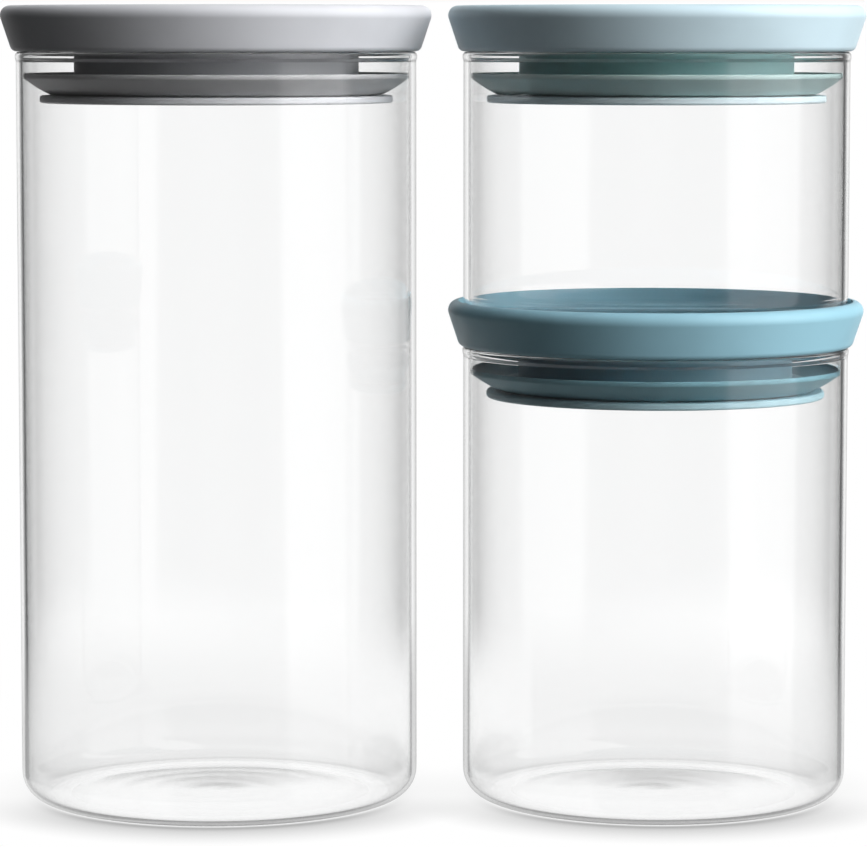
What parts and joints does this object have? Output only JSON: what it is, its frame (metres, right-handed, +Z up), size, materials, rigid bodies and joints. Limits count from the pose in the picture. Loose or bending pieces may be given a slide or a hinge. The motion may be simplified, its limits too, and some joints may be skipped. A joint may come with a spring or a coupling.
{
  "type": "stacking glass storage container set",
  "caption": "Round clear glass jars with flared push-in plastic lids, flexible wiper seals and recessed lid tops that let one container stand on another.",
  "frame": {"origin": "on the resting surface, under the middle of the set's overall width and depth", "axes": "+Z up along every jar's axis, +X from the tall container to the stacked pair, -Y towards the front"},
  "size_m": [0.2444, 0.122, 0.2255],
  "materials": {
    "clear_glass": "clear soda-lime glass, fire-polished",
    "grey_plastic": "satin light grey polypropylene",
    "teal_plastic": "satin dusty blue-green polypropylene",
    "mint_plastic": "satin pale mint-blue polypropylene",
    "grey_silicone": "soft matte grey silicone",
    "teal_silicone": "soft matte blue-green silicone",
    "mint_silicone": "soft matte pale mint silicone"
  },
  "bodies": {
    "tall_jar": {"tall_jar_glass": "clear_glass"},
    "tall_lid": {"tall_lid_cap": "grey_plastic", "tall_lid_collar": "grey_plastic", "tall_lid_seal": "grey_silicone", "tall_lid_retainer": "grey_plastic"},
    "medium_jar": {"medium_jar_glass": "clear_glass"},
    "medium_lid": {"medium_lid_cap": "teal_plastic", "medium_lid_collar": "teal_plastic", "medium_lid_seal": "teal_silicone", "medium_lid_retainer": "teal_plastic"},
    "small_jar": {"small_jar_glass": "clear_glass"},
    "small_lid": {"small_lid_cap": "mint_plastic", "small_lid_collar": "mint_plastic", "small_lid_seal": "mint_silicone", "small_lid_retainer": "mint_plastic"}
  },
  "joints": [
    {"name": "tall_lid_lift", "type": "slide", "parent": "tall_jar", "child": "tall_lid", "axis": [0, 0, 1], "range_m": [0, 0.05]},
    {"name": "medium_jar_lift", "type": "slide", "parent": "tall_jar", "child": "medium_jar", "axis": [0, 0, 1], "range_m": [0, 0.05]},
    {"name": "medium_lid_lift", "type": "slide", "parent": "medium_jar", "child": "medium_lid", "axis": [0, 0, 1], "range_m": [0, 0.05]},
    {"name": "small_jar_lift", "type": "slide", "parent": "medium_lid", "child": "small_jar", "axis": [0, 0, 1], "range_m": [0, 0.05]},
    {"name": "small_lid_lift", "type": "slide", "parent": "small_jar", "child": "small_lid", "axis": [0, 0, 1], "range_m": [0, 0.05]}
  ]
}
